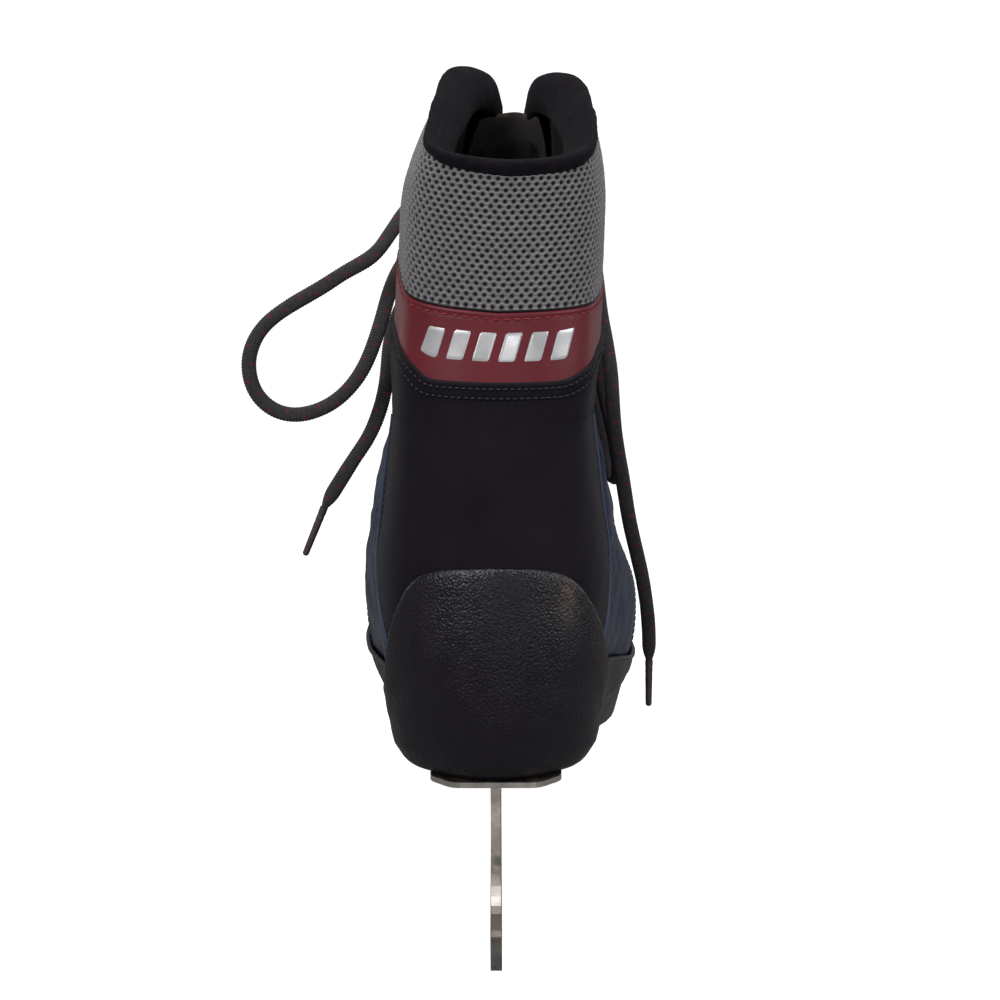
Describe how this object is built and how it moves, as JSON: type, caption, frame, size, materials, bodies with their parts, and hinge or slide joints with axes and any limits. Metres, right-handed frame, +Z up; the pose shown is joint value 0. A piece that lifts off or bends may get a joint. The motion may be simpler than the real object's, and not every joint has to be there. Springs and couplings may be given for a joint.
{
  "type": "ice skate boot with blade",
  "caption": "Right-foot ice skate: padded lace-up leather and mesh boot on a moulded rubber cup sole, with screwed plates and a flat steel figure blade.",
  "frame": {"origin": "middle of the flat of the runner, on its running edge", "axes": "+X to the lateral (outer) side across the blade, +Y towards the toe along the blade, +Z up"},
  "size_m": [0.1507, 0.3144, 0.3123],
  "materials": {
    "black_rubber": "moulded, fine grain, semi-matt",
    "board": "fibre board, matt",
    "footbed_foam": "felted foam",
    "steel": "ground, lightly pitted",
    "nickel": "nickel plated, satin",
    "nubuck": "brushed, matt",
    "navy_leather": "smooth, semi-gloss, creased",
    "burgundy": "smooth synthetic leather",
    "grey_mesh": "knitted spacer mesh with round holes",
    "black_fleece": "brushed fleece over foam",
    "lace": "braided, red flecks",
    "aglet": "dark translucent",
    "black_metal": "black lacquered"
  },
  "bodies": {
    "skate": {"aglet_left": "aglet", "aglet_right": "aglet", "ankle_band": "burgundy", "ankle_lining": "black_fleece", "blade": "steel", "collar_pad": "black_fleece", "cuff_mesh": "grey_mesh", "eyelet_lateral_1": "black_metal", "eyelet_lateral_2": "black_metal", "eyelet_lateral_3": "black_metal", "eyelet_lateral_4": "black_metal", "eyelet_lateral_5": "black_metal", "eyelet_medial_1": "black_metal", "eyelet_medial_2": "black_metal", "eyelet_medial_3": "black_metal", "eyelet_medial_4": "black_metal", "eyelet_medial_5": "black_metal", "eyestay_lateral": "navy_leather", "eyestay_medial": "navy_leather", "footbed": "footbed_foam", "heel_panel": "nubuck", "heel_plate": "nickel", "heel_screw_1": "steel", "heel_screw_2": "steel", "heel_screw_3": "steel", "heel_screw_4": "steel", "hook_lateral_1": "black_metal", "hook_lateral_2": "black_metal", "hook_medial_1": "black_metal", "hook_medial_2": "black_metal", "lace_end_left": "lace", "lace_end_right": "lace", "lace_knot": "lace", "lace_laced": "lace", "lace_loop_left": "lace", "lace_loop_right": "lace", "lasting_board": "board", "quarter_lateral": "navy_leather", "quarter_medial": "navy_leather", "sole_plate": "nickel", "sole_screw_1": "steel", "sole_screw_2": "steel", "sole_screw_3": "steel", "sole_screw_4": "steel", "sole_unit": "black_rubber", "steel_shank": "steel", "toe_cap": "navy_leather", "vamp": "navy_leather", "vamp_lining": "black_fleece"},
    "tongue_flap": {"tongue": "nubuck", "tongue_pad": "black_fleece", "tongue_loop": "nubuck"}
  },
  "joints": [
    {"name": "tongue_hinge", "type": "hinge", "parent": "skate", "child": "tongue_flap", "pos_m": [0, 0.063, 0.1255], "axis": [1, 0, 0], "range_deg": [0, 10], "stiffness_Nm_per_rad": 0.5, "springref_deg": -6.88}
  ]
}
